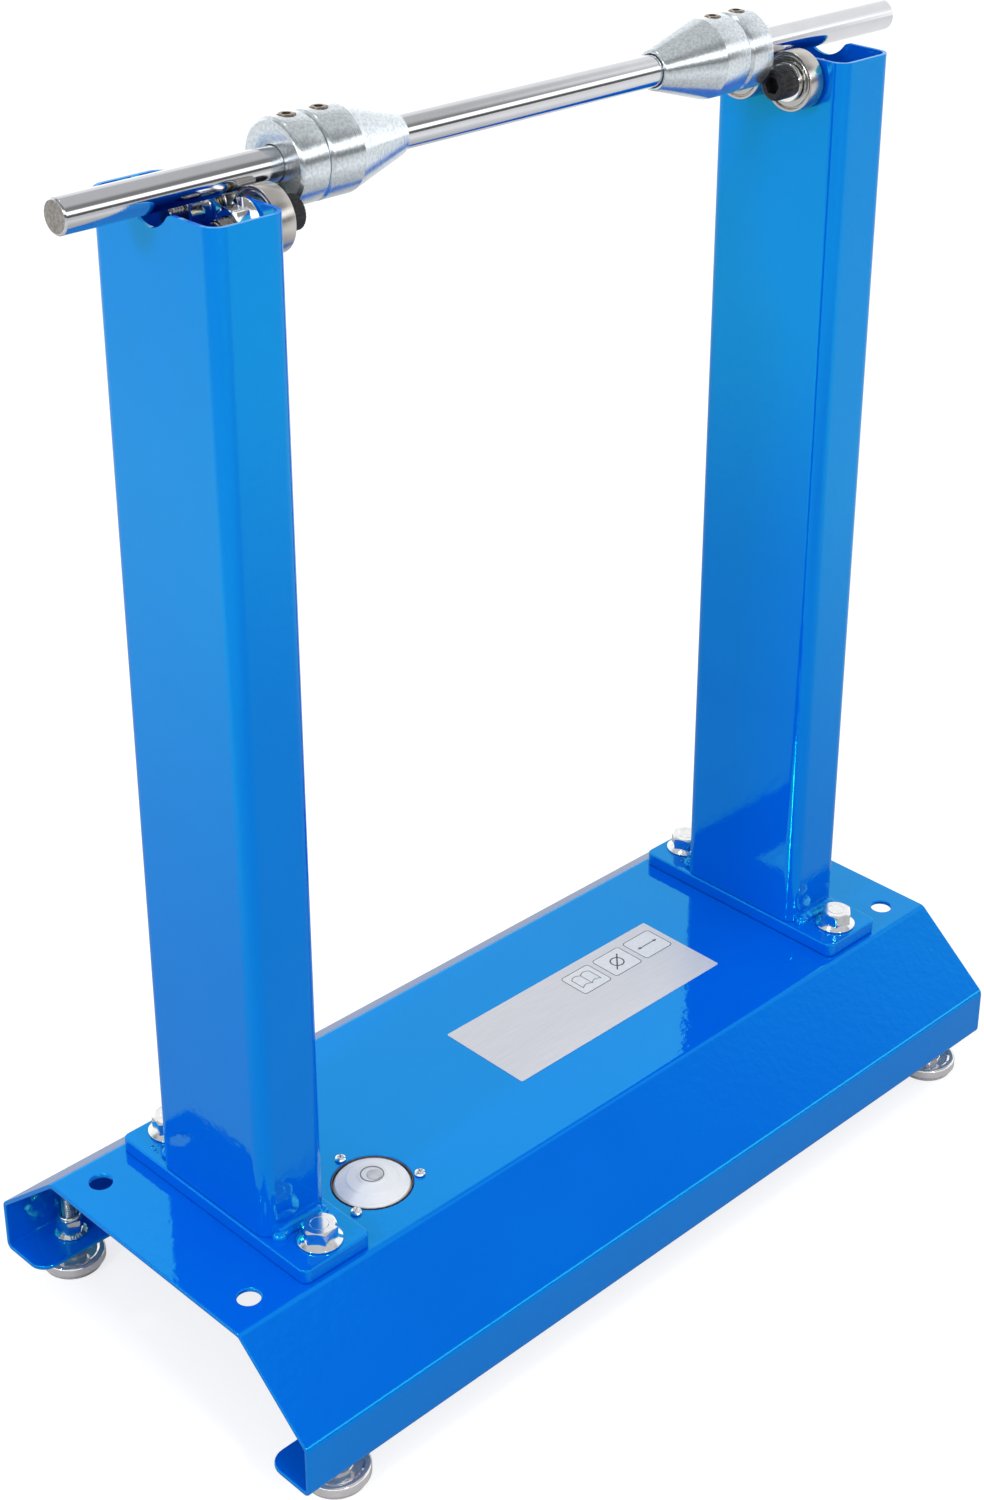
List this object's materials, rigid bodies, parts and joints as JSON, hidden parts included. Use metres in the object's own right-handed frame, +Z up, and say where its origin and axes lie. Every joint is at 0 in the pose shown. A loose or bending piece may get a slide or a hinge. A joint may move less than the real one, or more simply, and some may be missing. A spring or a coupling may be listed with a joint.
{
  "type": "motorcycle wheel balancer",
  "caption": "Bench stand that balances a motorcycle wheel on a free-rolling axle with centring cones, on tube posts and a levelled base.",
  "frame": {"origin": "on the ground, under the middle of the base", "axes": "+X along the axle towards the right post, -Y to the front, the side with the spirit level, +Z up"},
  "size_m": [0.53, 0.2506, 0.6366],
  "materials": {
    "blue_paint": "gloss blue powder coat",
    "bright_zinc": "bright zinc plate",
    "turned_zinc": "turned and zinc plated",
    "ground_steel": "ground bright bar",
    "bearing_steel": "ground bearing steel",
    "yellow_zinc": "yellow zinc plate",
    "black_oxide": "satin black oxide",
    "chrome": "polished chrome plate",
    "level_white": "white moulding",
    "level_clear": "clear moulding over the liquid",
    "grey_plastic": "grey moulding"
  },
  "bodies": {
    "stand": {"base_plate": "blue_paint", "left_post_tube": "blue_paint", "right_post_tube": "blue_paint", "left_foot_plate": "blue_paint", "right_foot_plate": "blue_paint", "level_housing": "level_white", "level_lens": "level_clear", "left_front_post_bolt": "bright_zinc", "left_back_post_bolt": "bright_zinc", "right_front_post_bolt": "bright_zinc", "right_back_post_bolt": "bright_zinc", "left_front_bearing_screw": "black_oxide", "left_back_bearing_screw": "black_oxide", "right_front_bearing_screw": "black_oxide", "right_back_bearing_screw": "black_oxide", "left_front_bearing_nut": "bright_zinc", "left_back_bearing_nut": "bright_zinc", "right_front_bearing_nut": "bright_zinc", "right_back_bearing_nut": "bright_zinc", "left_front_stepped_bush": "yellow_zinc", "left_back_stepped_bush": "yellow_zinc", "right_front_stepped_bush": "yellow_zinc", "right_back_stepped_bush": "yellow_zinc", "left_front_inner_ring": "bearing_steel", "left_back_inner_ring": "bearing_steel", "right_front_inner_ring": "bearing_steel", "right_back_inner_ring": "bearing_steel", "left_front_foot_upper_nut": "bright_zinc", "left_back_foot_upper_nut": "bright_zinc", "right_front_foot_upper_nut": "bright_zinc", "right_back_foot_upper_nut": "bright_zinc", "left_front_foot_lower_nut": "bright_zinc", "left_back_foot_lower_nut": "bright_zinc", "right_front_foot_lower_nut": "bright_zinc", "right_back_foot_lower_nut": "bright_zinc"},
    "axle": {"axle_shaft": "ground_steel"},
    "left_collar": {"left_collar": "turned_zinc"},
    "left_collar_screw": {"left_collar_screw": "black_oxide"},
    "left_cone": {"left_cone": "turned_zinc"},
    "left_cone_screw": {"left_cone_screw": "black_oxide"},
    "right_collar": {"right_collar": "turned_zinc"},
    "right_collar_screw": {"right_collar_screw": "black_oxide"},
    "right_cone": {"right_cone": "turned_zinc"},
    "right_cone_screw": {"right_cone_screw": "black_oxide"},
    "left_front_outer_ring": {"left_front_outer_ring": "bearing_steel"},
    "left_back_outer_ring": {"left_back_outer_ring": "bearing_steel"},
    "right_front_outer_ring": {"right_front_outer_ring": "bearing_steel"},
    "right_back_outer_ring": {"right_back_outer_ring": "bearing_steel"},
    "left_front_ball_cage": {"left_front_ball_cage": "bearing_steel"},
    "left_back_ball_cage": {"left_back_ball_cage": "bearing_steel"},
    "right_front_ball_cage": {"right_front_ball_cage": "bearing_steel"},
    "right_back_ball_cage": {"right_back_ball_cage": "bearing_steel"},
    "left_front_foot": {"left_front_foot": "chrome", "left_front_foot_pad": "grey_plastic"},
    "left_back_foot": {"left_back_foot": "chrome", "left_back_foot_pad": "grey_plastic"},
    "right_front_foot": {"right_front_foot": "chrome", "right_front_foot_pad": "grey_plastic"},
    "right_back_foot": {"right_back_foot": "chrome", "right_back_foot_pad": "grey_plastic"}
  },
  "joints": [
    {"name": "axle_spin", "type": "hinge", "parent": "stand", "child": "axle", "pos_m": [0, 0, 0.6162], "axis": [1, 0, 0], "continuous": true},
    {"name": "left_front_bearing_spin", "type": "hinge", "parent": "stand", "child": "left_front_outer_ring", "pos_m": [-0.1729, -0.017, 0.59954], "axis": [1, 0, 0], "continuous": true},
    {"name": "left_back_bearing_spin", "type": "hinge", "parent": "stand", "child": "left_back_outer_ring", "pos_m": [-0.1729, 0.017, 0.59954], "axis": [1, 0, 0], "continuous": true},
    {"name": "right_front_bearing_spin", "type": "hinge", "parent": "stand", "child": "right_front_outer_ring", "pos_m": [0.1729, -0.017, 0.59954], "axis": [1, 0, 0], "continuous": true},
    {"name": "right_back_bearing_spin", "type": "hinge", "parent": "stand", "child": "right_back_outer_ring", "pos_m": [0.1729, 0.017, 0.59954], "axis": [1, 0, 0], "continuous": true},
    {"name": "left_front_balls_roll", "type": "hinge", "parent": "stand", "child": "left_front_ball_cage", "pos_m": [-0.1729, -0.017, 0.59954], "axis": [1, 0, 0], "continuous": true},
    {"name": "left_back_balls_roll", "type": "hinge", "parent": "stand", "child": "left_back_ball_cage", "pos_m": [-0.1729, 0.017, 0.59954], "axis": [1, 0, 0], "continuous": true},
    {"name": "right_front_balls_roll", "type": "hinge", "parent": "stand", "child": "right_front_ball_cage", "pos_m": [0.1729, -0.017, 0.59954], "axis": [1, 0, 0], "continuous": true},
    {"name": "right_back_balls_roll", "type": "hinge", "parent": "stand", "child": "right_back_ball_cage", "pos_m": [0.1729, 0.017, 0.59954], "axis": [1, 0, 0], "continuous": true},
    {"name": "left_collar_slide", "type": "slide", "parent": "axle", "child": "left_collar", "axis": [1, 0, 0], "range_m": [-0.0015, 0.04]},
    {"name": "left_cone_slide", "type": "slide", "parent": "left_collar", "child": "left_cone", "axis": [1, 0, 0], "range_m": [0, 0.036]},
    {"name": "right_collar_slide", "type": "slide", "parent": "axle", "child": "right_collar", "axis": [-1, 0, 0], "range_m": [-0.0015, 0.04]},
    {"name": "right_cone_slide", "type": "slide", "parent": "right_collar", "child": "right_cone", "axis": [-1, 0, 0], "range_m": [0, 0.036]},
    {"name": "left_collar_screw_out", "type": "slide", "parent": "left_collar", "child": "left_collar_screw", "axis": [0, 0, 1], "range_m": [0, 0.003]},
    {"name": "left_cone_screw_out", "type": "slide", "parent": "left_cone", "child": "left_cone_screw", "axis": [0, 0, 1], "range_m": [0, 0.003]},
    {"name": "right_collar_screw_out", "type": "slide", "parent": "right_collar", "child": "right_collar_screw", "axis": [0, 0, 1], "range_m": [0, 0.003]},
    {"name": "right_cone_screw_out", "type": "slide", "parent": "right_cone", "child": "right_cone_screw", "axis": [0, 0, 1], "range_m": [0, 0.003]},
    {"name": "left_front_foot_down", "type": "slide", "parent": "stand", "child": "left_front_foot", "axis": [0, 0, -1], "range_m": [0, 0.015]},
    {"name": "left_back_foot_down", "type": "slide", "parent": "stand", "child": "left_back_foot", "axis": [0, 0, -1], "range_m": [0, 0.015]},
    {"name": "right_front_foot_down", "type": "slide", "parent": "stand", "child": "right_front_foot", "axis": [0, 0, -1], "range_m": [0, 0.015]},
    {"name": "right_back_foot_down", "type": "slide", "parent": "stand", "child": "right_back_foot", "axis": [0, 0, -1], "range_m": [0, 0.015]}
  ],
  "couplings": [
    {"joint": "left_front_bearing_spin", "follows": "axle_spin", "ratio": -0.46875},
    {"joint": "left_back_bearing_spin", "follows": "axle_spin", "ratio": -0.46875},
    {"joint": "right_front_bearing_spin", "follows": "axle_spin", "ratio": -0.46875},
    {"joint": "right_back_bearing_spin", "follows": "axle_spin", "ratio": -0.46875},
    {"joint": "left_front_balls_roll", "follows": "axle_spin", "ratio": -0.2908},
    {"joint": "left_back_balls_roll", "follows": "axle_spin", "ratio": -0.2908},
    {"joint": "right_front_balls_roll", "follows": "axle_spin", "ratio": -0.2908},
    {"joint": "right_back_balls_roll", "follows": "axle_spin", "ratio": -0.2908}
  ]
}
